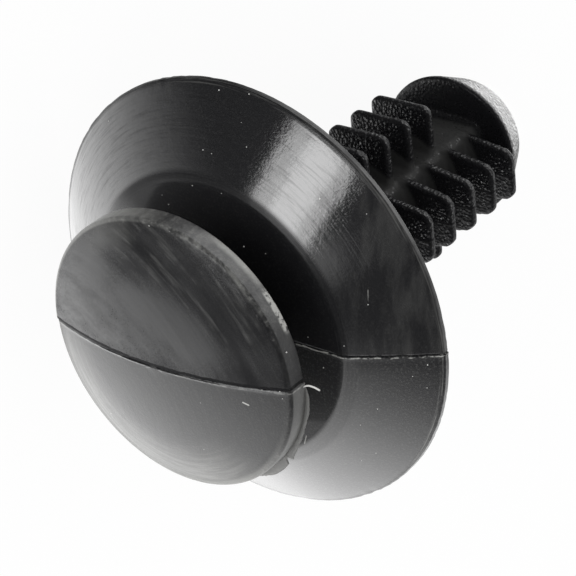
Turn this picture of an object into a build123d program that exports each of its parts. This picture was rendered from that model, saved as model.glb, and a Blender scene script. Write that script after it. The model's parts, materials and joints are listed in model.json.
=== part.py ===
"""Molding retainer clip: a domed head and neck, an umbrella flange and a fir-tree shank."""
from build123d import *
from math import atan2, degrees
import os

# What the clip fits (millimetres)
PANEL_HOLE_DIAMETER = 6.5
MOLDING_WEB = 1.8
WEB_CLEARANCE = 0.23
SIDE_FIN_GRIP = 0.6
TOP_FIN_GRIP = 0.25
TIP_CLEARANCE = 0.15
CORE_CLEARANCE = 1.6

# Flange, heights from the back of its rim
FLANGE_RADIUS = 9.0
RIM_BAND = 0.25
RIM_WIDTH = 0.55
SHOULDER_RADIUS = 5.75
SHOULDER_ROUND = 0.8
FLANGE_HEIGHT = 2.13
SKIRT_BULGE = 0.085
WALL = 0.75

# Head and neck
HEAD_RADIUS = 5.6
HEAD_SIDE = 0.84
DOME_RISE = 0.98
FRONT_EDGE_ROUND = 0.16
REAR_EDGE_CHAMFER = 0.06
NECK_RADIUS = 2.4
NECK_CHAMFER = 0.3

# Shank and fins, positions down from the back of the rim
CORE_DEPTH = 2.74
CORE_CORNER = 0.4
FIN_THICKNESS = 0.4
FIN_STEP = 1.467
SIDE_FIN_COUNT = 8
SIDE_FIN_LAST = 12.69
SIDE_FIN_END_WIDTH = 2.1
SIDE_FIN_ROOT_WIDTH = 2.82
SIDE_FIN_CORNER = 0.4
TOP_FIN_COUNT = 6
TOP_FIN_LAST = 10.617
TOP_FIN_WIDTH = 2.86
TOP_FIN_CORNER = 0.45

# Tip
TIP_FACE = 13.47
TIP_EDGE = 0.24
TIP_CHAMFER = 0.08
NOSE_LENGTH = 1.55
NOSE_RADIUS = 2.33
NOSE_END_LENGTH = 0.6
NOSE_END_RADIUS = 1.3

# Sizes that follow from the ones above
hole_radius = PANEL_HOLE_DIAMETER / 2
side_fin_reach = hole_radius + SIDE_FIN_GRIP
top_fin_reach = hole_radius + TOP_FIN_GRIP
tip_radius = hole_radius - TIP_CLEARANCE
core_half = hole_radius - CORE_CLEARANCE
spine_radius = CORE_DEPTH / 2
head_back = FLANGE_HEIGHT + MOLDING_WEB + WEB_CLEARANCE
head_front = head_back + HEAD_SIDE
ceiling = FLANGE_HEIGHT - WALL
tip_edge = -TIP_FACE - TIP_EDGE
nose_start_of_end = tip_edge - NOSE_LENGTH
nose_end = nose_start_of_end - NOSE_END_LENGTH

# The clip rests on the back of its rim and on the two end corners of the last side fin
rest_tilt = degrees(atan2(FLANGE_RADIUS - side_fin_reach, SIDE_FIN_LAST))


def arc_middle(start: tuple, end: tuple, rise: float) -> tuple:
    """Gives the middle point of an arc.

    Args:
        start: first point, as radius and height.
        end: last point, as radius and height.
        rise: height of the arc's middle above the straight line.

    Returns:
        The middle point, as radius and height.
    """
    return ((start[0] + end[0]) / 2, (start[1] + end[1]) / 2 + rise)


def corner_at(sketch: BuildSketch, radius: float, height: float) -> Vertex:
    """Finds the corner of the half profile nearest to a point.

    Args:
        sketch: the half profile being drawn.
        radius: distance of the corner from the axis.
        height: height of the corner.

    Returns:
        The nearest corner.
    """
    target = Vector(radius, height, 0)
    return min(sketch.vertices(), key=lambda v: (Vector(v.X, v.Y, v.Z) - target).length)


with BuildPart() as clip:
    # Head, neck, flange, spine and tip as one turned body
    with BuildSketch(Plane.XZ) as profile:
        with BuildLine():
            dome_radius = (HEAD_RADIUS ** 2 + DOME_RISE ** 2) / (2 * DOME_RISE)
            dome_top = (0, head_front + DOME_RISE)
            dome_edge = (HEAD_RADIUS, head_front)
            half = HEAD_RADIUS / 2
            dome_half = (half, head_front + DOME_RISE - dome_radius + (dome_radius ** 2 - half ** 2) ** 0.5)
            ThreePointArc(dome_top, dome_half, dome_edge)
            Polyline(dome_edge, (HEAD_RADIUS, head_back), (NECK_RADIUS, head_back),
                     (NECK_RADIUS, FLANGE_HEIGHT), (SHOULDER_RADIUS, FLANGE_HEIGHT))
            shoulder = (SHOULDER_RADIUS, FLANGE_HEIGHT)
            rim_front = (FLANGE_RADIUS, RIM_BAND)
            ThreePointArc(shoulder, arc_middle(shoulder, rim_front, SKIRT_BULGE), rim_front)
            rim_inside = (FLANGE_RADIUS - RIM_WIDTH, 0)
            hollow_top = (SHOULDER_RADIUS, ceiling)
            Polyline(rim_front, (FLANGE_RADIUS, 0), rim_inside)
            ThreePointArc(rim_inside, arc_middle(rim_inside, hollow_top, SKIRT_BULGE), hollow_top)
            Polyline(hollow_top, (spine_radius, ceiling), (spine_radius, -TIP_FACE),
                     (tip_radius, -TIP_FACE), (tip_radius, tip_edge), (NOSE_RADIUS, nose_start_of_end),
                     (NOSE_END_RADIUS, nose_end), (0, nose_end), dome_top)
        make_face()
        fillet(corner_at(profile, HEAD_RADIUS, head_front), FRONT_EDGE_ROUND)
        fillet(corner_at(profile, SHOULDER_RADIUS, FLANGE_HEIGHT), SHOULDER_ROUND)
        fillet(corner_at(profile, SHOULDER_RADIUS, ceiling), SHOULDER_ROUND - WALL / 2)
        chamfer(corner_at(profile, HEAD_RADIUS, head_back), REAR_EDGE_CHAMFER)
        for neck_end in (head_back, FLANGE_HEIGHT):
            chamfer(corner_at(profile, NECK_RADIUS, neck_end), NECK_CHAMFER)
        chamfer(corner_at(profile, tip_radius, -TIP_FACE), TIP_CHAMFER)
        chamfer(corner_at(profile, NOSE_RADIUS, nose_start_of_end), TIP_CHAMFER)
    revolve(axis=Axis.Z)

    # Core: a bar with rounded corners from the hollow's ceiling to the tip disc
    with BuildSketch(Plane.XY.offset(-TIP_FACE)):
        RectangleRounded(2 * core_half, CORE_DEPTH, CORE_CORNER)
    extrude(amount=TIP_FACE + ceiling)

    # Side fins: tapered plates that run through the core to both sides
    end_half, root_half = SIDE_FIN_END_WIDTH / 2, SIDE_FIN_ROOT_WIDTH / 2
    for level in range(SIDE_FIN_COUNT):
        with BuildSketch(Plane.XY.offset(level * FIN_STEP - SIDE_FIN_LAST)) as side_fin:
            with BuildLine():
                Polyline((side_fin_reach, end_half), (core_half, root_half), (-core_half, root_half),
                         (-side_fin_reach, end_half), (-side_fin_reach, -end_half),
                         (-core_half, -root_half), (core_half, -root_half),
                         (side_fin_reach, -end_half), close=True)
            make_face()
            ends = [v for v in side_fin.vertices() if abs(v.X) > (side_fin_reach + core_half) / 2]
            fillet(ends, SIDE_FIN_CORNER)
        extrude(amount=FIN_THICKNESS)

    # Top fins: square plates across the side fins, between their levels
    for level in range(TOP_FIN_COUNT):
        with BuildSketch(Plane.XY.offset(level * FIN_STEP - TOP_FIN_LAST)):
            RectangleRounded(TOP_FIN_WIDTH, 2 * top_fin_reach, TOP_FIN_CORNER)
        extrude(amount=FIN_THICKNESS)

# Turn the clip on its side as it rests, and put the middle of its base on the origin
with BuildPart() as lying:
    add(clip.part, rotation=(0, 90 - rest_tilt, 0))
box = lying.part.bounding_box()

with BuildPart() as retainer_clip:
    with Locations((-box.center().X, -box.center().Y, -box.min.Z)):
        add(lying.part)
retainer_clip.part.label = "retainer_clip"

os.makedirs("parts", exist_ok=True)
export_step(retainer_clip.part, "parts/retainer_clip.step")
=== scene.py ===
"""Dresses the molding retainer clip: its moulded body, seam, flash and black plastic finish."""
from __future__ import annotations

import json
import logging
import math
from dataclasses import dataclass
from typing import ClassVar

import bmesh
import bpy
from mathutils import Matrix, Vector, noise

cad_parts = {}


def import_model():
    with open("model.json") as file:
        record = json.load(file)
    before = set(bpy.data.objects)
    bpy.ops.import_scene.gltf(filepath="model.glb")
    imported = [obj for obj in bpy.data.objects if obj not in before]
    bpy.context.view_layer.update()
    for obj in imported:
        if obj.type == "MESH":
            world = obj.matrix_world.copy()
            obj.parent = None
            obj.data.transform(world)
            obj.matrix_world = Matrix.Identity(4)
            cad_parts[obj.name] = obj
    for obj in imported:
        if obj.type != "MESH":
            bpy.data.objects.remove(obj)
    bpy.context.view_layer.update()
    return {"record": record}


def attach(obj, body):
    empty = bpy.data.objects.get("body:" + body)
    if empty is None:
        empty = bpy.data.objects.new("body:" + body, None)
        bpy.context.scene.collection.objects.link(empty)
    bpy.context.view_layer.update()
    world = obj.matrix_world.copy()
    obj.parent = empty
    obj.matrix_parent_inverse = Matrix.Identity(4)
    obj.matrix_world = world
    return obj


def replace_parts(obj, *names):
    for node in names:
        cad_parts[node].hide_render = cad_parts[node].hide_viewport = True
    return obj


LOG = logging.getLogger("retainer_clip")
MM = 0.001
NODE = "retainer_clip"
ON_RING = 1e-3  # millimetres that a vertex may lie off the ring it belongs to
SAME_PLACE = 1e-4  # millimetres under which two vertices are one
ROUND_SEGMENTS = 6  # facets across a rounded edge or corner
Colour = tuple[float, float, float, float]
Point = tuple[float, float, float]
Pair = tuple[float, float]


@dataclass(frozen=True)
class ClipFrame:
    """The clip's own frame: z along the shank to the head, x in the seam plane, y across it.

    Its origin is the middle of the rim's back, and its unit is the millimetre.
    """

    origin: Vector
    axis: Vector

    @classmethod
    def from_record(cls, record: dict) -> ClipFrame:
        """Reads the frame off the panel hole's mount.

        Args:
            record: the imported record.

        Returns:
            The clip's own frame.
        """
        hole = next(m for m in record["mounts"] if m["name"] == "panel_hole")
        return cls(Vector(hole["pos_m"]), -Vector(hole["axis"]).normalized())

    @property
    def turn(self) -> Matrix:
        """Rotation from the clip's frame to the row's."""
        across = Vector((0, 1, 0))
        return Matrix((across.cross(self.axis), across, self.axis)).transposed()

    @property
    def placement(self) -> Matrix:
        """Takes a point in clip millimetres to row metres."""
        return Matrix.Translation(self.origin) @ self.turn.to_4x4() @ Matrix.Scale(MM, 4)


def corner_edges(bm: bmesh.types.BMesh, radius: float, height: float) -> list:
    """Finds the ring of edges that a corner of the profile swept out.

    Args:
        bm: the turned mesh.
        radius: the corner's distance from the axis.
        height: the corner's height.

    Returns:
        The edges of that ring.
    """
    ring = {v for v in bm.verts if abs(math.hypot(v.co.x, v.co.y) - radius) < ON_RING
            and abs(v.co.z - height) < ON_RING}
    return [e for e in bm.edges if e.verts[0] in ring and e.verts[1] in ring]


def turned(profile: list[Pair], rounds: list[tuple[float, float, float]],
           steps: int) -> bmesh.types.BMesh:
    """Turns a half profile round the z axis and rounds some of its corners.

    Args:
        profile: radius and height of each corner, from axis to axis.
        rounds: radius and height of a corner, and how far its round reaches from it.
        steps: facets round the axis.

    Returns:
        The closed turned mesh.
    """
    bm = bmesh.new()
    verts = [bm.verts.new((r, 0, z)) for r, z in profile]
    edges = [bm.edges.new(pair) for pair in zip(verts, verts[1:])]
    bmesh.ops.spin(bm, geom=verts + edges, cent=(0, 0, 0), axis=(0, 0, 1), dvec=(0, 0, 0),
                   angle=math.tau, steps=steps, use_merge=True, use_duplicate=False)
    bmesh.ops.remove_doubles(bm, verts=bm.verts[:], dist=SAME_PLACE)
    for radius, height, reach in rounds:
        bmesh.ops.bevel(bm, geom=corner_edges(bm, radius, height), offset=reach, offset_type="OFFSET",
                        affect="EDGES", segments=ROUND_SEGMENTS, profile=0.5, material=-1)
    bmesh.ops.recalc_face_normals(bm, faces=bm.faces[:])
    return bm


def arc(start: Pair, end: Pair, rise: float, steps: int) -> list[Pair]:
    """Points of a shallow arc between two profile corners.

    Args:
        start: radius and height of the first corner.
        end: radius and height of the last corner.
        rise: height of the arc's middle above the chord.
        steps: number of stretches.

    Returns:
        The points after start, end included.
    """
    points = []
    for i in range(1, steps + 1):
        t = i / steps
        points.append((start[0] + (end[0] - start[0]) * t,
                       start[1] + (end[1] - start[1]) * t + 4 * rise * t * (1 - t)))
    return points


def extruded(bm: bmesh.types.BMesh, faces: list, step: Vector) -> list:
    """Extrudes faces and leaves the old ones in place.

    Args:
        bm: the mesh.
        faces: the faces.
        step: how far the new faces stand from the old ones.

    Returns:
        The new faces.
    """
    grown = bmesh.ops.extrude_face_region(bm, geom=faces, use_keep_orig=True)["geom"]
    bmesh.ops.translate(bm, vec=step, verts=[g for g in grown if isinstance(g, bmesh.types.BMVert)])
    return [g for g in grown if isinstance(g, bmesh.types.BMFace)]


@dataclass
class Piece:
    """One piece of the clip, which rides on its only body."""

    name: ClassVar[str]
    frame: ClipFrame

    def mesh(self) -> bmesh.types.BMesh:
        """Makes the piece's mesh, in clip millimetres."""
        raise NotImplementedError

    def build(self, material: bpy.types.Material) -> bpy.types.Object:
        """Builds the piece, with its place in its mesh.

        Args:
            material: its finish.

        Returns:
            The finished object.
        """
        bm = self.mesh()
        bmesh.ops.transform(bm, matrix=self.frame.placement, verts=bm.verts[:])
        mesh = bpy.data.meshes.new(self.name)
        bm.to_mesh(mesh)
        bm.free()
        mesh.polygons.foreach_set("use_smooth", [True] * len(mesh.polygons))
        mesh.materials.append(material)
        piece = bpy.data.objects.new(self.name, mesh)
        bpy.context.scene.collection.objects.link(piece)
        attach(piece, "root")
        LOG.info("%s: %d faces", self.name, len(mesh.polygons))
        return piece


@dataclass
class HeadAndFlange(Piece):
    """Domed head, neck and umbrella flange, turned and then split by the mould seam."""

    name = "head_and_flange"
    steps: int = 288
    head_radius: float = 5.565
    head_back: float = 4.16
    head_front: float = 5.0
    dome_rise: float = 0.98
    dome_steps: int = 24
    neck_radius: float = 2.4
    flange_radius: float = 8.98
    flange_height: float = 2.13
    shoulder_radius: float = 5.75
    skirt_bulge: float = 0.085
    skirt_steps: int = 10
    rim_band: float = 0.25
    rim_width: float = 0.5
    ceiling: float = 1.38
    hollow_steps: int = 8
    head_front_round: float = 0.14
    head_back_round: float = 0.05
    neck_round: float = 0.25
    shoulder_round: float = 0.13
    rim_front_round: float = 0.07
    rim_back_round: float = 0.03
    hollow_round: float = 0.15
    seam_width: float = 0.035
    seam_depth: float = 0.06
    seam_lip: float = 0.025
    seam_tears: float = 7.0
    head_shift: float = 0.035
    head_shift_from: float = 4.06
    flange_shift: float = 0.015
    rim_raggedness: float = 0.035
    rim_tear_depth: float = 0.12
    rim_tear_height: float = 0.05
    rim_worn_all_round: float = 0.3
    rim_torn_at: Pair = (-52.0, 140.0)
    rim_fine_tears: float = 24.0
    rim_coarse_tears: float = 9.0
    rim_coarse_share: float = 0.8

    def profile(self) -> list[Pair]:
        """Half profile from the top of the dome round to the hollow's ceiling.

        Returns:
            Radius and height of each corner.
        """
        top = self.head_front + self.dome_rise
        shoulder = (self.shoulder_radius, self.flange_height)
        rim_front = (self.flange_radius, self.rim_band)
        rim_inside = (self.flange_radius - self.rim_width, 0.0)
        hollow_top = (self.shoulder_radius, self.ceiling)
        sphere = (self.head_radius ** 2 + self.dome_rise ** 2) / (2 * self.dome_rise)
        radii = [self.head_radius * i / self.dome_steps for i in range(self.dome_steps)]
        dome = [(r, top - sphere + math.sqrt(sphere ** 2 - r ** 2)) for r in radii]
        return [*dome, (self.head_radius, self.head_front), (self.head_radius, self.head_back),
                (self.neck_radius, self.head_back), (self.neck_radius, self.flange_height), shoulder,
                *arc(shoulder, rim_front, self.skirt_bulge, self.skirt_steps), (self.flange_radius, 0.0),
                rim_inside, *arc(rim_inside, hollow_top, self.skirt_bulge, self.hollow_steps),
                (0.0, self.ceiling)]

    def rounds(self) -> list[tuple[float, float, float]]:
        """Rounded corners of the profile.

        Returns:
            Radius and height of each, and how far its round reaches.
        """
        return [(self.head_radius, self.head_front, self.head_front_round),
                (self.head_radius, self.head_back, self.head_back_round),
                (self.neck_radius, self.head_back, self.neck_round),
                (self.neck_radius, self.flange_height, self.neck_round),
                (self.shoulder_radius, self.flange_height, self.shoulder_round),
                (self.flange_radius, self.rim_band, self.rim_front_round),
                (self.flange_radius, 0.0, self.rim_back_round),
                (self.shoulder_radius, self.ceiling, self.hollow_round)]

    def cut_seam(self, bm: bmesh.types.BMesh) -> None:
        """Cuts the seam's groove and gives the two mould halves their small mismatch.

        Args:
            bm: the turned mesh.
        """
        for line in range(-2, 3):
            bmesh.ops.bisect_plane(bm, geom=bm.verts[:] + bm.edges[:] + bm.faces[:], dist=1e-5,
                                   plane_co=(0, line * self.seam_width, 0), plane_no=(0, 1, 0))
        bm.normal_update()
        moves = {}
        for v in bm.verts:
            across = v.co.y / self.seam_width
            tear = noise.noise(v.co * self.seam_tears)
            groove = max(0.0, 1 - abs(across)) * self.seam_depth * (0.75 + 0.5 * tear)
            lip = max(0.0, 1 - abs(across - 1.5)) * self.seam_lip * (1 + tear)
            mismatch = self.head_shift if v.co.z > self.head_shift_from else self.flange_shift
            moves[v] = v.normal * (lip - groove) - Vector((max(-1.0, min(1.0, across)) * mismatch, 0, 0))
        for v, shift in moves.items():
            v.co += shift

    def tear_rim(self, bm: bmesh.types.BMesh) -> None:
        """Roughens the rim where a little flash was torn off it.

        Args:
            bm: the turned mesh.
        """
        for v in bm.verts:
            radius = math.hypot(v.co.x, v.co.y)
            if (radius < self.flange_radius - self.rim_tear_depth
                    or v.co.z > self.rim_band + self.rim_tear_height):
                continue
            angle = math.atan2(v.co.y, v.co.x)
            torn = max(0.0, *(math.cos(angle - math.radians(at)) for at in self.rim_torn_at)) ** 3
            fine = noise.noise(Vector((math.cos(angle), math.sin(angle), 0.0)) * self.rim_fine_tears)
            coarse = noise.noise(Vector((math.cos(angle), math.sin(angle), 3.0)) * self.rim_coarse_tears)
            loss = (self.rim_raggedness * (self.rim_worn_all_round + torn)
                    * abs(fine + self.rim_coarse_share * coarse))
            v.co.x *= 1 - loss / radius
            v.co.y *= 1 - loss / radius

    def mesh(self) -> bmesh.types.BMesh:
        """Makes the head and the flange as one turned mesh, split by the seam.

        Returns:
            The mesh, in clip millimetres.
        """
        bm = turned(self.profile(), self.rounds(), self.steps)
        self.tear_rim(bm)
        self.cut_seam(bm)
        return bm


@dataclass
class FirTreeShank(Piece):
    """Core, staggered fins, tip disc and nose, blended into one skin as a mould leaves them."""

    name = "fir_tree_shank"
    core_half: float = 1.65
    core_depth: float = 1.37
    core_corner: float = 0.4
    core_top: float = 1.45
    core_overlap: float = 0.1
    tip_radius: float = 3.1
    tip_face: float = -13.47
    tip_edge: float = -13.71
    tip_steps: int = 128
    nose_radius: float = 2.33
    nose_corner: float = -15.26
    nose_end_radius: float = 1.3
    nose_end: float = -15.86
    fin_thickness: float = 0.4
    fin_step: float = 1.467
    side_fin_count: int = 8
    side_fin_last: float = -12.69
    side_fin_reach: float = 3.85
    side_fin_end: float = 1.06
    side_fin_root: float = 1.42
    side_fin_corner: float = 0.45
    top_fin_count: int = 6
    top_fin_last: float = -10.617
    top_fin_reach: float = 3.5
    top_fin_half: float = 1.43
    top_fin_corner: float = 0.45
    voxel: float = 0.09
    softening: float = 0.5
    softening_passes: int = 6

    def plate(self, outline: list[Pair], corners: set[int], reach: float, bottom: float,
              thickness: float) -> bmesh.types.BMesh:
        """Makes one plate across the axis.

        Args:
            outline: corners of the plate across the axis.
            corners: which of them are round.
            reach: how far a round reaches from its corner.
            bottom: height of the plate's lower face.
            thickness: its size along the axis.

        Returns:
            The closed plate.
        """
        bm = bmesh.new()
        verts = [bm.verts.new((x, y, bottom)) for x, y in outline]
        bm.faces.new(verts)
        bmesh.ops.bevel(bm, geom=[v for i, v in enumerate(verts) if i in corners], offset=reach,
                        offset_type="OFFSET", affect="VERTICES", segments=ROUND_SEGMENTS, profile=0.5,
                        material=-1)
        extruded(bm, bm.faces[:], Vector((0, 0, thickness)))
        bmesh.ops.recalc_face_normals(bm, faces=bm.faces[:])
        return bm

    def bar(self, half: float, depth: float, corner: float, bottom: float,
            thickness: float) -> bmesh.types.BMesh:
        """Makes a plate that is a rectangle across the axis.

        Args:
            half: half its size along x.
            depth: half its size along y.
            corner: how far its rounds reach from its corners.
            bottom: height of its lower face.
            thickness: its size along the axis.

        Returns:
            The closed bar.
        """
        outline = [(half, depth), (-half, depth), (-half, -depth), (half, -depth)]
        return self.plate(outline, {0, 1, 2, 3}, corner, bottom, thickness)

    def side_fin(self, level: int) -> bmesh.types.BMesh:
        """Makes a tapered pair of fins in the seam plane.

        Args:
            level: its place in the row, counted from the tip.

        Returns:
            The pair, as one plate through the core.
        """
        reach, end, core, root = self.side_fin_reach, self.side_fin_end, self.core_half, self.side_fin_root
        outline = [(reach, end), (core, root), (-core, root), (-reach, end),
                   (-reach, -end), (-core, -root), (core, -root), (reach, -end)]
        return self.plate(outline, {0, 3, 4, 7}, self.side_fin_corner,
                          self.side_fin_last + level * self.fin_step, self.fin_thickness)

    def top_fin(self, level: int) -> bmesh.types.BMesh:
        """Makes a square pair of fins across the seam plane."""
        return self.bar(self.top_fin_half, self.top_fin_reach, self.top_fin_corner,
                        self.top_fin_last + level * self.fin_step, self.fin_thickness)

    def core(self) -> bmesh.types.BMesh:
        """Makes the bar with rounded corners that carries the fins."""
        bottom = self.tip_face - self.core_overlap
        return self.bar(self.core_half, self.core_depth, self.core_corner, bottom, self.core_top - bottom)

    def tip(self) -> bmesh.types.BMesh:
        """Makes the tip disc and the blunt nose.

        Returns:
            The two, as one turned mesh.
        """
        profile = [(0.0, self.tip_face), (self.tip_radius, self.tip_face), (self.tip_radius, self.tip_edge),
                   (self.nose_radius, self.nose_corner), (self.nose_end_radius, self.nose_end),
                   (0.0, self.nose_end)]
        return turned(profile, [], self.tip_steps)

    def blended(self, bm: bmesh.types.BMesh) -> bmesh.types.BMesh:
        """Melts the overlapping shapes into one skin with soft edges.

        Args:
            bm: the shapes together, which is freed.

        Returns:
            The one skin.
        """
        mesh = bpy.data.meshes.new("shank_rough")
        bm.to_mesh(mesh)
        bm.free()
        rough = bpy.data.objects.new("shank_rough", mesh)
        bpy.context.scene.collection.objects.link(rough)
        melt = rough.modifiers.new("melt", "REMESH")
        melt.mode, melt.voxel_size, melt.adaptivity = "VOXEL", self.voxel, 0.0
        soften = rough.modifiers.new("soften", "SMOOTH")
        soften.factor, soften.iterations = self.softening, self.softening_passes
        graph = bpy.context.evaluated_depsgraph_get()
        skin = bmesh.new()
        skin.from_mesh(bpy.data.meshes.new_from_object(rough.evaluated_get(graph)))
        bpy.data.objects.remove(rough)
        return skin

    def mesh(self) -> bmesh.types.BMesh:
        """Makes the shank with its fins and its tip.

        Returns:
            The mesh, in clip millimetres.
        """
        whole = bmesh.new()
        shapes = [self.core(), self.tip()]
        shapes += [self.side_fin(i) for i in range(self.side_fin_count)]
        shapes += [self.top_fin(i) for i in range(self.top_fin_count)]
        for shape in shapes:
            solid = bpy.data.meshes.new("solid")
            shape.to_mesh(solid)
            shape.free()
            whole.from_mesh(solid)
            bpy.data.meshes.remove(solid)
        return self.blended(whole)


@dataclass
class FlashSheet(Piece):
    """Thin torn flash that stands out from the rear edge of the head.

    Its reach gives, for some degrees round the axis, how far it stands out there.
    """

    name = "flash_sheet"
    root: float = 5.4
    edge: float = 5.6
    height: float = 4.2
    droop: float = 0.12
    thickness: float = 0.05
    raggedness: float = 0.025
    tears: float = 0.9
    steps_round: int = 260
    steps_out: int = 5
    reach: tuple[Pair, ...] = (
        (178.0, 0.0), (174.0, 0.12), (168.0, 0.17), (160.0, 0.13), (150.0, 0.18), (144.0, 0.24),
        (141.5, 0.29), (140.6, 0.12), (139.0, 0.12), (138.0, 0.30), (133.0, 0.34), (128.0, 0.32),
        (124.0, 0.22), (118.0, 0.08), (112.0, 0.0))

    def reach_at(self, angle: float) -> float:
        """How far the sheet stands out.

        Args:
            angle: degrees round the axis.

        Returns:
            Its reach beyond the head's edge.
        """
        for (a, ra), (b, rb) in zip(self.reach, self.reach[1:]):
            if b <= angle <= a:
                return ra + (rb - ra) * (a - angle) / (a - b)
        return 0.0

    def mesh(self) -> bmesh.types.BMesh:
        """Makes the sheet along the head's edge.

        Returns:
            The mesh, in clip millimetres.
        """
        first, last = self.reach[0][0], self.reach[-1][0]
        bm = bmesh.new()
        bmesh.ops.create_grid(bm, x_segments=self.steps_round, y_segments=self.steps_out, size=1.0)
        for v in bm.verts:
            angle = first + (last - first) * (v.co.x + 1) / 2
            out = (v.co.y + 1) / 2
            torn = self.raggedness * noise.noise(Vector((angle * self.tears, 0.0, 2.0)))
            grow = max(0.0, self.reach_at(angle) + torn)
            radius = self.root + out * (self.edge - self.root + grow)
            turn = math.radians(angle)
            v.co = (radius * math.cos(turn), radius * math.sin(turn), self.height - self.droop * out * grow)
        bmesh.ops.solidify(bm, geom=bm.faces[:], thickness=self.thickness)
        bmesh.ops.recalc_face_normals(bm, faces=bm.faces[:])
        return bm


@dataclass
class Whisker(Piece):
    """Pale curled thread of flash at the seam's end."""

    name = "whisker"
    thickness: float = 0.034
    sides: int = 10
    path: tuple[Point, ...] = (
        (-5.50, 0.25, 4.28), (-5.58, 0.16, 4.26), (-5.68, 0.10, 4.24), (-5.80, 0.07, 4.22),
        (-5.92, 0.08, 4.20), (-6.02, 0.11, 4.17), (-6.10, 0.16, 4.14), (-6.18, 0.22, 4.10))

    def mesh(self) -> bmesh.types.BMesh:
        """Makes the thread along its path.

        Returns:
            The mesh, in clip millimetres.
        """
        bm = bmesh.new()
        start = Matrix.Translation(self.path[0]) @ Matrix.Rotation(math.radians(90), 4, "Y")
        bmesh.ops.create_circle(bm, cap_ends=True, segments=self.sides, radius=self.thickness, matrix=start)
        cap = bm.faces[:]
        for i, (a, b) in enumerate(zip(self.path, self.path[1:])):
            grown = extruded(bm, cap, Vector(b) - Vector(a))
            if i > 0:  # only the thread's first end stays closed; the others would be inside it
                bmesh.ops.delete(bm, geom=cap, context="FACES_ONLY")
            cap = grown
        bmesh.ops.recalc_face_normals(bm, faces=bm.faces[:])
        return bm


@dataclass(frozen=True)
class Grain:
    """A speck of dust on the clip, in the clip's frame."""

    place: Point
    size: float


@dataclass
class Dust(Piece):
    """The pale specks that lie on the clip."""

    name = "dust"
    grains: tuple[Grain, ...]

    def mesh(self) -> bmesh.types.BMesh:
        """Makes all the specks.

        Returns:
            The mesh, in clip millimetres.
        """
        bm = bmesh.new()
        for grain in self.grains:
            bmesh.ops.create_icosphere(bm, subdivisions=2, radius=grain.size,
                                       matrix=Matrix.Translation(grain.place))
        return bm


def plug(tree: bpy.types.NodeTree, item: object, slot: bpy.types.NodeSocket) -> None:
    """Links an output to an input, or sets a constant on it.

    Args:
        tree: the node tree.
        item: a Value, an output or a constant.
        slot: the input.
    """
    source = item.socket if isinstance(item, Value) else item
    if isinstance(source, bpy.types.NodeSocket):
        tree.links.new(source, slot)
    else:
        slot.default_value = source


class Value:
    """A shader value. Python operators on it add Math nodes."""

    def __init__(self, tree: bpy.types.NodeTree, socket: bpy.types.NodeSocket) -> None:
        """Wraps an output socket of a node tree."""
        self.tree, self.socket = tree, socket

    def combine(self, operation: str, items: tuple, clamp: bool = False) -> Value:
        """Adds a Math node.

        Args:
            operation: the Math node's operation.
            items: its inputs in order, values or numbers.
            clamp: whether the result is kept between 0 and 1.

        Returns:
            The result.
        """
        node = self.tree.nodes.new("ShaderNodeMath")
        node.operation, node.use_clamp = operation, clamp
        for slot, item in zip(node.inputs, items):
            plug(self.tree, item, slot)
        return Value(self.tree, node.outputs[0])

    def math(self, operation: str, *others: Value | float) -> Value:
        """Adds a Math node with this value as its first input."""
        return self.combine(operation, (self, *others))

    def clamped(self) -> Value:
        """The same, kept between 0 and 1."""
        return self.combine("ADD", (self, 0.0), clamp=True)

    def __add__(self, other: Value | float) -> Value:
        """Sum."""
        return self.math("ADD", other)

    def __radd__(self, other: float) -> Value:
        """Sum with a number first."""
        return self.math("ADD", other)

    def __sub__(self, other: Value | float) -> Value:
        """Difference."""
        return self.math("SUBTRACT", other)

    def __rsub__(self, other: float) -> Value:
        """Difference from a number."""
        return self.combine("SUBTRACT", (other, self))

    def __mul__(self, other: Value | float) -> Value:
        """Product."""
        return self.math("MULTIPLY", other)

    def __rmul__(self, other: float) -> Value:
        """Product with a number first."""
        return self.math("MULTIPLY", other)

    def __truediv__(self, other: Value | float) -> Value:
        """Quotient."""
        return self.math("DIVIDE", other)

    def __pow__(self, power: float) -> Value:
        """Power."""
        return self.math("POWER", power)

    def __abs__(self) -> Value:
        """Size without sign."""
        return self.math("ABSOLUTE")

    def __lt__(self, limit: Value | float) -> Value:
        """1 where it is below a limit, else 0."""
        return self.math("LESS_THAN", limit)

    def ramp(self, low: float | Value, high: float | Value) -> Value:
        """Climbs smoothly from 0 at low to 1 at high; it falls if high is the smaller.

        Args:
            low: where it is 0.
            high: where it is 1.

        Returns:
            A value from 0 to 1.
        """
        t = ((self - low) / (high - low)).clamped()
        return t * t * (3.0 - 2.0 * t)


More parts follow.
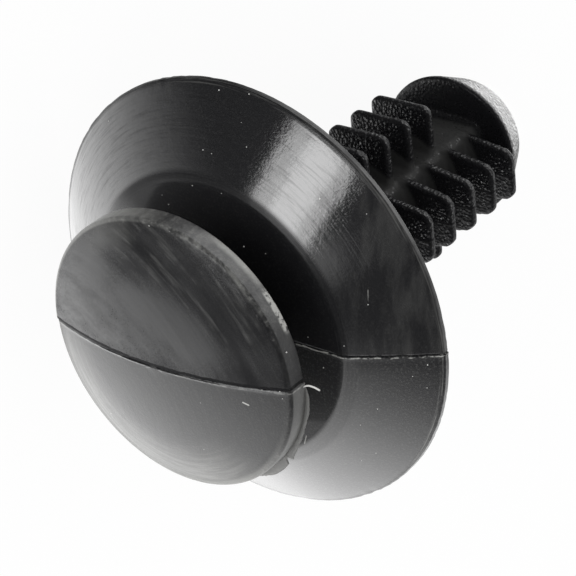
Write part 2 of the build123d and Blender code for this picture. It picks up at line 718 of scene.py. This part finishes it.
class Nodes:
    """Adds nodes to one tree."""

    def __init__(self, tree: bpy.types.NodeTree) -> None:
        """Starts on an emptied tree."""
        self.tree = tree
        tree.nodes.clear()

    def add(self, kind: str, settings: dict | None = None, **inputs: object) -> bpy.types.Node:
        """Adds a node.

        Args:
            kind: the node's type.
            settings: attributes to set first.
            inputs: value or link for each named socket, with _ for a space.

        Returns:
            The node.
        """
        node = self.tree.nodes.new(kind)
        for key, item in (settings or {}).items():
            setattr(node, key, item)
        for key, item in inputs.items():
            plug(self.tree, item, node.inputs[key.replace("_", " ")])
        return node

    def vector_math(self, operation: str, *items: object, **inputs: object) -> bpy.types.Node:
        """Adds a Vector Math node.

        Args:
            operation: the node's operation.
            items: its vectors, in order.
            inputs: value or link for each other socket.

        Returns:
            The node.
        """
        node = self.add("ShaderNodeVectorMath", {"operation": operation}, **inputs)
        for slot, item in zip(node.inputs, items):
            plug(self.tree, item, slot)
        return node

    def mix_colours(self, factor: Value, first: Colour, second: Colour) -> bpy.types.NodeSocket:
        """Mixes two colours.

        Args:
            factor: 0 for the first, 1 for the second.
            first: one colour.
            second: the other.

        Returns:
            The mixed colour's socket.
        """
        node = self.add("ShaderNodeMix", {"data_type": "RGBA"}, Factor=factor)
        for name, colour in (("A", first), ("B", second)):
            # its colour inputs share their names with its number inputs
            next(i for i in node.inputs if i.name == name and i.type == "RGBA").default_value = colour
        return next(o for o in node.outputs if o.type == "RGBA")

    def mix_shaders(self, factor: Value, first: bpy.types.Node,
                    second: bpy.types.Node) -> bpy.types.NodeSocket:
        """Mixes two shaders.

        Args:
            factor: 0 for the first, 1 for the second.
            first: one shader.
            second: the other.

        Returns:
            The mixed shader's socket.
        """
        node = self.add("ShaderNodeMixShader", Fac=factor)
        for slot, shader in zip(node.inputs[1:], (first, second)):
            plug(self.tree, shader.outputs[0], slot)
        return node.outputs[0]

    def vector(self, x: Value, y: Value, z: Value) -> bpy.types.NodeSocket:
        """Joins three values to a vector."""
        return self.add("ShaderNodeCombineXYZ", X=x, Y=y, Z=z).outputs[0]

    def number(self, constant: float) -> Value:
        """Adds a constant.

        Args:
            constant: the number.

        Returns:
            The constant as a value.
        """
        node = self.add("ShaderNodeValue")
        node.outputs[0].default_value = constant
        return self.value(node)

    def value(self, node: bpy.types.Node, output: str | int = 0) -> Value:
        """Wraps one of a node's outputs for use in expressions."""
        return Value(self.tree, node.outputs[output])


class ClipSurface:
    """What the finish is made from: coordinates, a mask for each place on the clip, and noises.

    A mask is 1 on its place and 0 off it, with a soft edge. All are worked out from Object
    coordinates, in the clip's own millimetres.
    """

    wiped_at: float = 245.0  # degrees round the axis to the middle of the wiped side
    swirl: Pair = (4.0, 3.0)  # x and y that the wipe marks on the head go round
    swirl_arc: float = 7.0  # millimetres per radian along those marks

    def __init__(self, nodes: Nodes, frame: ClipFrame) -> None:
        """Adds the coordinates, the masks and the noises that more than one layer uses.

        Args:
            nodes: the material's nodes.
            frame: the clip's own frame.
        """
        self.nodes = nodes
        place = nodes.add("ShaderNodeTexCoord").outputs["Object"]
        self.local = nodes.add("ShaderNodeMapping", {"vector_type": "TEXTURE"}, Vector=place,
                               Location=frame.origin, Rotation=frame.turn.to_euler(),
                               Scale=(MM, MM, MM)).outputs[0]
        parts = nodes.add("ShaderNodeSeparateXYZ", Vector=self.local)
        self.x, self.y, self.z = x, y, z = [nodes.value(parts, k) for k in ("X", "Y", "Z")]
        self.radius = radius = (x * x + y * y) ** 0.5
        self.polar = nodes.vector(radius, y.math("ARCTAN2", x), z)
        far_x, far_y = x - self.swirl[0], y - self.swirl[1]
        self.sweep = nodes.vector((far_x ** 2.0 + far_y ** 2.0) ** 0.5,
                                  far_y.math("ARCTAN2", 0.0 - far_x) * self.swirl_arc, z * 0.2)
        wiped = math.radians(self.wiped_at)
        self.towards = (x * math.cos(wiped) + y * math.sin(wiped)) / radius  # 1 at the wiped side's middle
        self.wiped = self.towards.ramp(0.4, 0.85)

        self.grained = y.ramp(-0.02, 0.02)
        self.polished = 1 - self.grained
        self.head = z.ramp(3.6, 4.0)
        self.shank = z.ramp(0.2, -0.6)
        self.flange = (1 - self.head) * (1 - self.shank)
        self.smooth_head = self.head * self.polished
        self.rough_head = self.head * self.grained
        self.head_border = radius.ramp(5.05, 5.45) * self.head
        self.head_side = radius.ramp(5.4, 5.5) * radius.ramp(5.62, 5.58) * self.head
        self.head_corner = radius.ramp(5.36, 5.5) * z.ramp(4.83, 4.93) * self.polished
        self.flash = radius.ramp(5.58, 5.62) * self.head
        self.ring = radius.ramp(5.6, 5.4) * self.flange
        self.shoulder = ((radius - self.grained * 0.3).ramp(6.1, 5.9) * radius.ramp(5.45, 5.65)
                         * self.flange)
        self.skirt = radius.ramp(6.0, 6.4) * self.flange
        self.smooth_skirt = self.skirt * self.polished
        self.rim = radius.ramp(8.78, 8.9) * self.flange
        self.core = radius.ramp(2.35, 2.1) * self.shank * z.ramp(-13.4, -13.0)
        self.tip_disc = z.ramp(-12.9, -13.3) * z.ramp(-13.62, -13.52)
        self.nose = z.ramp(-13.6, -13.72)

        self.fine = self.cloud(13.0, 3.0)
        self.blotch = self.cloud(0.7, 3.0)
        self.speckle = self.cloud(9.0, 2.0).ramp(0.05, 0.45)
        self.mottle = self.cloud(3.5, 4.0).ramp(-0.25, 0.35)
        self.streak = self.cloud(1.0, 3.0, (3.5, 0.25, 1.0), self.sweep)
        self.wisp = (self.cloud(1.0, 4.0, (4.0, 0.35, 1.0), self.sweep).ramp(0.0, 0.5)
                     * self.blotch.ramp(-0.25, 0.2))
        self.brush = self.cloud(1.0, 4.0, (5.5, 0.9, 1.0), self.sweep).ramp(-0.25, 0.4)
        # the distance from the seam, which wanders a little
        self.off_seam = y + self.cloud(1.6, 2.0) * 0.05 + self.cloud(7.0, 2.0) * 0.03

    def cloud(self, scale: float, detail: float, stretch: Point = (1.0, 1.0, 1.0),
              across: bpy.types.NodeSocket | None = None) -> Value:
        """Adds a noise round 0, mostly from -0.5 to 0.5.

        Args:
            scale: its scale per millimetre.
            detail: how many finer layers it has.
            stretch: what each coordinate is multiplied by first.
            across: the coordinates it varies over, if not the clip's own.

        Returns:
            The noise.
        """
        stretched = self.nodes.add("ShaderNodeMapping", Vector=across or self.local, Scale=stretch)
        noisy = self.nodes.add("ShaderNodeTexNoise", Vector=stretched.outputs[0], Scale=scale,
                               Detail=detail, Roughness=0.6)
        return self.nodes.value(noisy, "Fac") * 2.0 - 1.0

    def cells(self, feature: str, scale: float, **inputs: float) -> bpy.types.Node:
        """Adds a pattern of cells over the clip.

        Args:
            feature: what is measured in each cell.
            scale: cells per millimetre.
            inputs: the node's other inputs.

        Returns:
            The node.
        """
        return self.nodes.add("ShaderNodeTexVoronoi", {"feature": feature}, Vector=self.local, Scale=scale,
                              **inputs)


@dataclass(frozen=True)
class PaleStroke:
    """A short pale stroke, from one point of the clip's frame to another: a scratch, and in one case a
    painted highlight.
    """

    start: Point
    end: Point
    width: float

    def mask(self, nodes: Nodes, local: bpy.types.NodeSocket) -> Value:
        """Adds the scratch's mask.

        Args:
            nodes: the material's nodes.
            local: the place in the clip's frame.

        Returns:
            1 on the stroke, else 0.
        """
        run = Vector(self.end) - Vector(self.start)
        away = nodes.vector_math("SUBTRACT", local, self.start).outputs[0]
        along = nodes.value(nodes.vector_math("DOT_PRODUCT", away, run / run.length_squared), "Value")
        step = nodes.vector_math("SCALE", run, Scale=along.clamped()).outputs[0]
        gap = nodes.value(nodes.vector_math("DISTANCE", away, step), "Value")
        return gap.ramp(self.width, self.width * 0.5)


@dataclass(frozen=True)
class BlackPlastic:
    """Moulded black plastic: polished and grained halves, seam, haze, wipe marks, scratches, and painted
    sheen and highlights.
    """

    frame: ClipFrame
    black: Colour = (0.007, 0.007, 0.008, 1.0)
    pale: Colour = (0.40, 0.40, 0.38, 1.0)
    specular: float = 0.9
    coat: float = 0.9
    polished: float = 0.09
    grained: float = 0.30
    dull: float = 0.5
    dull_specular: float = 0.1
    turning_pitch: float = 0.1366
    leather_scale: float = 8.0
    speck_scale: float = 0.9
    speck_size: float = 0.035
    marks: tuple[PaleStroke, ...] = ()

    def roughness(self, at: ClipSurface) -> Value:
        """Roughness of the gloss, before the seam's is added.

        Args:
            at: the clip's surface.

        Returns:
            The roughness.
        """
        return (self.polished + at.grained * (self.grained - self.polished) + at.shank * 0.11
                + at.head_border * 0.14 + at.smooth_head * (0.09 + at.streak * 0.12)
                + at.shoulder * 0.2 + at.ring * 0.1 + at.rim * 0.15 + at.blotch * 0.03)

    def relief(self, at: ClipSurface) -> Value:
        """Height of the fine surface texture: turning rings, leather grain and wipe marks.

        Args:
            at: the clip's surface.

        Returns:
            The height in millimetres.
        """
        rings = (at.radius * (math.tau / self.turning_pitch)).math("SINE")
        leather = at.nodes.value(at.cells("SMOOTH_F1", self.leather_scale, Smoothness=0.5), "Distance")
        wipes = at.cloud(1.0, 3.0, (9.0, 0.8, 1.0), at.polar)
        return (rings * (at.shoulder * 0.0015 + at.ring * 0.0005)
                + leather * at.shank * (0.045 - at.tip_disc * 0.03)
                + at.fine * (0.0015 + at.head_border * 0.002 + at.grained * 0.002)
                + wipes * at.smooth_skirt * (at.wiped * 0.002 + 0.0009)
                + at.cloud(2.2, 3.0) * at.smooth_skirt * 0.004
                + at.streak * at.head * 0.003)

    def seam(self, at: ClipSurface) -> Value:
        """Mask of the rough mould seam, which is missing on the ring under the head.

        Args:
            at: the clip's surface.

        Returns:
            1 on the seam, else 0.
        """
        half = 0.03 + at.head * 0.03
        return abs(at.off_seam + at.head * 0.07).ramp(half + 0.025, half) * (1 - at.ring)

    def seam_flash(self, at: ClipSurface) -> Value:
        """Whitening of the torn flash along the seam.

        Args:
            at: the clip's surface.

        Returns:
            Up to 0.7 on the flash, else 0.
        """
        torn = abs(at.off_seam - 0.07).ramp(0.045, 0.015)
        return torn * at.cloud(4.0, 2.0).ramp(-0.15, 0.3) * (1 - at.shank) * (0.7 - at.head * 0.4)

    def specks(self, at: ClipSurface) -> Value:
        """Tiny pale specks in the plastic, of different sizes.

        Args:
            at: the clip's surface.

        Returns:
            1 on a speck, else 0.
        """
        cells = at.cells("F1", self.speck_scale)
        size = at.nodes.value(at.nodes.add("ShaderNodeSeparateXYZ", Vector=cells.outputs["Color"]), "X")
        return at.nodes.value(cells, "Distance") < size * self.speck_size

    def rear_edge_highlight(self, at: ClipSurface) -> Value:
        """Painted highlight along the head's rear edge, with a smooth stretch and a ragged one.

        Args:
            at: the clip's surface.

        Returns:
            Up to about 0.6 on the painted stretches, else 0.
        """
        turn = (0.0 - at.y).math("ARCTAN2", 0.0 - at.x) * math.degrees(1.0)
        # painted highlight: both stretches stand in for light that the rear edge mirrors
        smooth = turn.ramp(71.0, 61.0) * turn.ramp(38.0, 46.0) * 0.55
        ragged = (turn.ramp(41.0, 37.0) * turn.ramp(20.0, 25.0)
                  * at.cloud(5.0, 2.0).ramp(-0.35, 0.25) * 1.9)
        return (at.z.ramp(4.55, 4.3) * smooth + at.z.ramp(4.5, 4.32) * ragged) * at.head_side

    def smooth_head_sheen_and_smears(self, at: ClipSurface) -> Value:
        """Whitening of the head's polished half: painted sheen on its side band, the corner by it and the
        dome's edge, and pale smears on the wiped side.

        Args:
            at: the clip's surface.

        Returns:
            How white the plastic is, from 0.
        """
        x, z, radius = at.x, at.z, at.radius
        sheen_mottle = at.mottle + at.brush
        # painted sheen: the side band, its corner and the dome's edge are lightened, broken up by a mottle
        side = at.head_side * (x.ramp(-5.5, -4.4) * 0.07 + 0.02) * sheen_mottle
        corner = at.head_corner * x.ramp(-5.0, -3.6) * x.ramp(0.3, -1.5) * (sheen_mottle * 0.12 + 0.02)
        upper_side = at.head_side * x.ramp(-0.8, 3.0) * (0.45 - z.ramp(4.8, 4.9) * 0.15)
        upper_dome = (radius.ramp(4.3, 5.0) * radius.ramp(5.5, 5.4) * z.ramp(4.8, 4.9) * at.polished
                      * x.ramp(0.6, 1.6) * x.ramp(3.6, 2.4))
        # pale smears on the dome, on the wiped side only
        brushed = radius.ramp(3.6, 5.1) * at.brush * at.blotch.ramp(-0.3, 0.3)
        wisps = radius.ramp(2.8, 3.8) * at.wisp
        return (side * (at.fine.ramp(-0.3, 0.3) + 0.4) + corner + upper_side + upper_dome * 0.09
                + (wisps * 0.12 + brushed * 0.055) * at.wiped * at.smooth_head)

    def rough_head_sheen(self, at: ClipSurface) -> Value:
        """Painted sheen on the head's grained half: its side band, its front edge and a streaked pale film
        over the dome towards its edge.

        Args:
            at: the clip's surface.

        Returns:
            How white the plastic is, from 0.
        """
        x, y, z, radius = at.x, at.y, at.z, at.radius
        sheen_streaks = at.cloud(1.0, 4.0, (7.0, 2.5, 1.0), at.polar).ramp(-0.25, 0.4)
        side = at.head_side * z.ramp(4.85, 4.6) * (y.ramp(0.8, 2.6) * 0.12 + 0.05) * y.ramp(4.6, 3.6)
        # painted sheen: a streaked pale film that stands in for light mirrored near the dome's edge
        dome = at.towards.ramp(-0.2, -0.8) * radius.ramp(3.0, 5.2) * (sheen_streaks * 0.2 + 0.24)
        border = (at.head_border * (x.ramp(1.0, -3.0) * 0.16 + 0.14) * x.ramp(-5.6, -3.6)
                  * radius.ramp(5.25, 5.45) * z.ramp(4.7, 4.9))
        return (side + border) * at.grained + dome * at.rough_head

    def flange_wear(self, at: ClipSurface) -> Value:
        """Whitening of the rim and of the skirt towards -x.

        Args:
            at: the clip's surface.

        Returns:
            How white the plastic is, from 0.
        """
        veil = at.cloud(1.0, 3.0, (1.3, 0.3, 0.6)).ramp(-0.1, 0.4)
        lines = at.cloud(1.0, 3.0, (14.0, 3.0, 14.0), at.polar).ramp(-0.1, 0.4)
        return (at.smooth_skirt * at.x.ramp(-4.0, -6.5) * veil * 0.05
                + at.rim * lines * (0.14 + at.grained * 0.25))

    def whiteness(self, at: ClipSurface) -> Value:
        """How far the black turns pale, with all the marks, the wear and the painted sheen and highlights.

        Args:
            at: the clip's surface.

        Returns:
            From 0, and at most 1.
        """
        grain = at.fine.ramp(0.0, 0.35) * (1 - at.shank) * (0.02 + at.grained * 0.05)
        white = (self.seam_flash(at) + self.specks(at) + self.smooth_head_sheen_and_smears(at)
                 + self.rough_head_sheen(at) + self.rear_edge_highlight(at) + self.flange_wear(at) + grain
                 + at.head_border * at.mottle * at.speckle * 0.1 + at.flash * 0.3
                 # painted sheen: the core is lightened, and the nose grows paler towards its end
                 + at.core * 0.07 + at.nose * (0.1 + at.z.ramp(-13.7, -15.3) * 0.12))
        for mark in self.marks:
            white += mark.mask(at.nodes, at.local)
        return white.math("MINIMUM", 1.0)

    def head_haze(self, at: ClipSurface) -> Value:
        """How much of the head's gloss wiping has dulled.

        Args:
            at: the clip's surface.

        Returns:
            From 0 for full gloss; it may pass 1.
        """
        inside = at.radius.ramp(5.6, 5.42)
        smear = at.cloud(0.55, 3.0, (1.0, 0.3, 1.0), at.sweep)
        along_seam = at.y.ramp(-1.5, -0.2) * (at.x.ramp(0.0, -3.0) * 0.35 + 0.3)
        patch = at.wiped * at.radius.ramp(2.6, 4.2) * inside * (0.72 + at.head_border * 0.2)
        lower_end = at.x.ramp(-2.0, -4.2) * inside * 0.3
        return ((along_seam + patch + lower_end + smear * 1.2 - at.wisp * at.wiped * 0.3)
                * at.smooth_head + at.fine * at.head * 0.5)

    def flange_haze(self, at: ClipSurface) -> Value:
        """How dull the flange is: its collar, the skirt beside the seam, its scuffs and the rim.

        Args:
            at: the clip's surface.

        Returns:
            From 0 for full gloss; it may pass 1.
        """
        collar = ((at.radius + at.grained * 0.25 - at.wiped * 0.08).ramp(6.1, 5.85) * at.flange
                  * (at.towards.ramp(0.05, 0.5) * at.polished * 0.85 + at.grained * 0.75))
        beside_seam = at.y.ramp(1.0, 0.0) * at.grained * at.skirt * 0.35
        scuff = at.cloud(1.0, 5.0, (12.0, 5.0, 1.0), at.polar).ramp(-0.1, 0.5) * at.smooth_skirt
        return collar + beside_seam + scuff * 0.32 + at.rim * (0.6 - at.grained * 0.5)

    def dullness(self, at: ClipSurface, seam: Value) -> Value:
        """Share of the dull finish in the surface.

        Args:
            at: the clip's surface.
            seam: the seam's mask.

        Returns:
            From 0 for full gloss to 1.
        """
        shank = at.shank * (1 - at.nose) * (0.7 - at.speckle * 0.7) + at.core * 0.35
        head = self.head_haze(at).math("MAXIMUM", seam * 1.3)
        return (head + self.flange_haze(at) + shank).clamped()

    def build(self) -> bpy.types.Material:
        """Makes the material.

        Returns:
            The material.
        """
        material = bpy.data.materials.new("black_plastic")
        material.use_nodes = True
        nodes = Nodes(material.node_tree)
        at = ClipSurface(nodes, self.frame)
        seam = self.seam(at)
        colour = nodes.mix_colours(self.whiteness(at), self.black, self.pale)
        bump = nodes.add("ShaderNodeBump", Strength=1.0, Distance=MM, Height=self.relief(at))
        glossy = nodes.add("ShaderNodeBsdfPrincipled", Base_Color=colour,
                           Roughness=self.roughness(at).clamped() + seam * 0.5,
                           Specular_IOR_Level=self.specular, Coat_Roughness=self.polished,
                           Coat_Weight=self.coat * (1 - seam) * at.flange, Normal=bump.outputs[0])
        dull = nodes.add("ShaderNodeBsdfPrincipled", Base_Color=colour, Roughness=self.dull,
                         Specular_IOR_Level=self.dull_specular)
        surface = nodes.mix_shaders(self.dullness(at, seam), glossy, dull)
        nodes.add("ShaderNodeOutputMaterial", Surface=surface)
        return material


@dataclass(frozen=True)
class PaleDust:
    """Pale matt finish of dust and of torn flash threads."""

    pale: Colour = (0.62, 0.62, 0.60, 1.0)
    roughness: float = 0.8

    def build(self) -> bpy.types.Material:
        """Makes the material.

        Returns:
            The material.
        """
        material = bpy.data.materials.new("pale_dust")
        material.use_nodes = True
        nodes = Nodes(material.node_tree)
        surface = nodes.add("ShaderNodeBsdfPrincipled", Base_Color=self.pale, Roughness=self.roughness)
        nodes.add("ShaderNodeOutputMaterial", Surface=surface.outputs[0])
        return material


def direction(azimuth: float, elevation: float) -> Vector:
    """Unit vector away from the clip.

    Args:
        azimuth: degrees round the clip from the front.
        elevation: degrees above it.

    Returns:
        The vector.
    """
    a, e = math.radians(azimuth), math.radians(elevation)
    return Vector((math.sin(a) * math.cos(e), -math.cos(a) * math.cos(e), math.sin(e)))


@dataclass(frozen=True)
class Glow:
    """One broad soft light of the surroundings, which the clip mirrors.

    It is full up to inner degrees from its middle and ends at outer degrees.
    """

    azimuth: float
    elevation: float
    inner: float
    outer: float
    strength: float


@dataclass(frozen=True)
class Panel:
    """A rectangular lamp, which the upper part of the flange mirrors.

    Its size, its shift up from the lamps' common middle and its distance are in metres.
    """

    name: str
    size: Pair
    shift: float
    distance: float
    radiance: float


@dataclass
class Studio:
    """Pale floor, soft light and the camera. The camera's three vectors are in the clip's frame."""

    frame: ClipFrame
    camera_place: Point = (-55.441, -48.403, 63.814)
    camera_aim: Point = (-1.041, -0.028, -0.895)
    camera_up: Point = (0.23248, -0.86256, -0.44939)
    lens: float = 160.0
    sensor: float = 36.0
    clip_start: float = 0.01
    clip_end: float = 10.0
    floor_colour: Colour = (0.95, 0.95, 0.95, 1.0)
    floor_white: float = 0.93
    ambient: float = 0.9
    dim: float = 0.08
    glows: tuple[Glow, ...] = (
        Glow(155.0, -33.0, 22.0, 82.0, 1.75),  # broad, low behind the clip
        Glow(154.0, -36.0, 6.0, 26.0, 0.8),  # its brighter middle
        Glow(-108.0, -14.0, 30.0, 68.0, 0.95),  # broad, from the tip's side
        Glow(-104.0, -36.0, 8.0, 20.0, 2.2),  # small and strong, lower on that side
        Glow(-44.0, -8.0, 10.0, 40.0, 1.9),  # from the front, towards the tip
        Glow(-64.0, 18.0, 6.0, 26.0, 1.6),  # small, above that one
        Glow(90.0, 28.0, 1.0, 13.0, 0.6),  # small, above the head
        Glow(-138.0, -45.0, 12.0, 34.0, -1.3))  # a darker patch, low behind the tip
    panel_azimuth: float = 71.8
    panel_elevation: float = 15.5
    panel_roll: float = -14.0
    panels: tuple[Panel, ...] = (Panel("softbox", (0.16, 0.105), 0.009, 0.25, 3.1),
                                 Panel("softbox_middle", (0.15, 0.05), 0.013, 0.246, 2.0))

    def camera(self) -> None:
        """Puts the camera where the photograph was taken from."""
        back = (Vector(self.camera_place) - Vector(self.camera_aim)).normalized()
        right = Vector(self.camera_up).cross(back).normalized()
        turn = self.frame.turn @ Matrix((right, back.cross(right), back)).transposed()
        data = bpy.data.cameras.new("camera")
        data.lens, data.sensor_width = self.lens, self.sensor
        data.clip_start, data.clip_end = self.clip_start, self.clip_end
        camera = bpy.data.objects.new("camera", data)
        place = self.frame.placement @ Vector(self.camera_place)
        camera.matrix_world = Matrix.Translation(place) @ turn.to_4x4()
        bpy.context.scene.collection.objects.link(camera)
        bpy.context.scene.camera = camera

    def floor(self) -> None:
        """Lays a plain pale floor that keeps the clip's shadow."""
        bm = bmesh.new()
        bmesh.ops.create_grid(bm, x_segments=1, y_segments=1, size=1.0)
        mesh = bpy.data.meshes.new("floor")
        bm.to_mesh(mesh)
        bm.free()
        material = bpy.data.materials.new("floor")
        material.use_nodes = True
        nodes = Nodes(material.node_tree)
        seen = nodes.value(nodes.add("ShaderNodeLightPath"), "Is Camera Ray")
        plain = nodes.add("ShaderNodeBsdfDiffuse", Color=self.floor_colour)
        white = nodes.add("ShaderNodeEmission", Color=(1, 1, 1, 1), Strength=1.0)
        surface = nodes.mix_shaders(seen * self.floor_white, plain, white)
        nodes.add("ShaderNodeOutputMaterial", Surface=surface)
        mesh.materials.append(material)
        floor = bpy.data.objects.new("floor", mesh)
        floor.visible_glossy = False
        bpy.context.scene.collection.objects.link(floor)

    def world(self) -> None:
        """Pale all round; what the clip mirrors is a dim room with the glows in it."""
        world = bpy.data.worlds.new("studio")
        bpy.context.scene.world = world
        world.use_nodes = True
        nodes = Nodes(world.node_tree)
        paths = nodes.add("ShaderNodeLightPath")
        glossy, seen = nodes.value(paths, "Is Glossy Ray"), nodes.value(paths, "Is Camera Ray")
        way = nodes.add("ShaderNodeTexCoord").outputs["Generated"]
        mirrored = nodes.number(0.0)
        for glow in self.glows:
            middle = direction(glow.azimuth, glow.elevation)
            cosine = nodes.value(nodes.vector_math("DOT_PRODUCT", way, middle), "Value")
            angle = cosine.math("ARCCOSINE") * math.degrees(1.0)
            mirrored += angle.ramp(glow.outer, glow.inner) * glow.strength
        mirrored = mirrored.math("MAXIMUM", 0.0) + self.dim
        strength = glossy * mirrored + (1 - glossy) * (seen + (1 - seen) * self.ambient)
        background = nodes.add("ShaderNodeBackground", Color=(1, 1, 1, 1), Strength=strength)
        nodes.add("ShaderNodeOutputWorld", Surface=background.outputs[0])

    def lamp(self, panel: Panel) -> None:
        """Hangs one rectangle of light, which faces the clip.

        Args:
            panel: its sizes and brightness.
        """
        out = direction(self.panel_azimuth, self.panel_elevation)
        data = bpy.data.lights.new(panel.name, "AREA")
        data.shape, (data.size, data.size_y) = "RECTANGLE", panel.size
        data.energy = panel.radiance * math.pi * data.size * data.size_y
        lamp = bpy.data.objects.new(panel.name, data)
        lamp.matrix_world = (Matrix.Translation(self.frame.origin + out * panel.distance)
                             @ out.to_track_quat("Z", "Y").to_matrix().to_4x4()
                             @ Matrix.Rotation(math.radians(self.panel_roll), 4, "Z")
                             @ Matrix.Translation((0, panel.shift, 0)))
        bpy.context.scene.collection.objects.link(lamp)

    def build(self) -> None:
        """Sets the whole scene round the clip."""
        bpy.context.scene.view_settings.view_transform = "Standard"
        self.camera()
        self.floor()
        self.world()
        for panel in self.panels:
            self.lamp(panel)


MARKS = (
    PaleStroke((-3.75, 0.66, 5.53), (-3.95, 0.74, 5.48), 0.04),
    PaleStroke((-6.66, -2.65, 1.39), (-6.68, -2.16, 1.48), 0.015),
    PaleStroke((-3.99, 0.04, 2.13), (-4.36, 0.07, 2.13), 0.03),
    PaleStroke((-4.58, 0.09, 2.13), (-5.13, 0.03, 2.13), 0.025),
    # painted highlight along the shoulder's edge, not a scratch
    PaleStroke((-3.53, 4.52, 2.13), (-3.67, 4.12, 2.13), 0.03),
)
GRAINS = tuple(Grain((x, y, z), size) for x, y, z, size in (
    (0.05, -8.74, 0.43, 0.026), (0.15, -6.82, 1.59, 0.022), (-0.26, -6.77, 1.61, 0.016),
    (-1.66, -7.20, 1.27, 0.020), (-1.23, -7.92, 0.89, 0.014), (-1.26, -8.81, 0.32, 0.024),
    (-6.68, -2.10, 1.49, 0.022), (-5.86, -0.44, 2.07, 0.020), (-8.45, 0.41, 0.61, 0.028),
    (-6.64, 2.38, 1.46, 0.022), (-5.92, 3.20, 1.64, 0.020), (-5.43, 5.22, 1.18, 0.020),
    (-7.95, 0.89, 0.90, 0.016), (-8.34, 1.43, 0.61, 0.018), (0.40, -5.55, 2.13, 0.022),
    (-1.72, -3.54, 2.13, 0.028), (1.70, -4.45, 2.13, 0.018), (-0.95, -5.55, 2.13, 0.014),
    (1.97, -4.78, 2.13, 0.012), (-2.71, -3.50, 2.13, 0.016), (-4.85, 0.75, 2.13, 0.026),
    (-4.27, -0.40, 2.13, 0.016), (-5.36, -1.48, 4.72, 0.030), (0.06, -5.41, 5.07, 0.020),
    (-5.56, 0.26, 4.45, 0.020), (-5.20, -0.02, 5.14, 0.018), (-5.27, 0.28, 5.11, 0.018),
    (-4.55, 0.00, 5.34, 0.014), (-1.96, 1.06, 5.82, 0.018), (-0.78, -1.39, -13.47, 0.032),
    (-1.46, -0.27, -13.40, 0.020), (-6.38, -5.34, 0.70, 0.016), (5.61, -6.35, 0.60, 0.016)))


def main() -> None:
    """Builds the clip and its studio."""
    logging.basicConfig(level=logging.INFO, format="%(name)s %(message)s")
    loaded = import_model()
    frame = ClipFrame.from_record(loaded["record"])
    plastic = BlackPlastic(frame, marks=MARKS).build()
    pale = PaleDust().build()
    for part in (HeadAndFlange(frame), FirTreeShank(frame), FlashSheet(frame)):
        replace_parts(part.build(plastic), NODE)
    Whisker(frame).build(pale)
    Dust(frame, GRAINS).build(pale)
    Studio(frame).build()


if __name__ == "__main__":
    main()
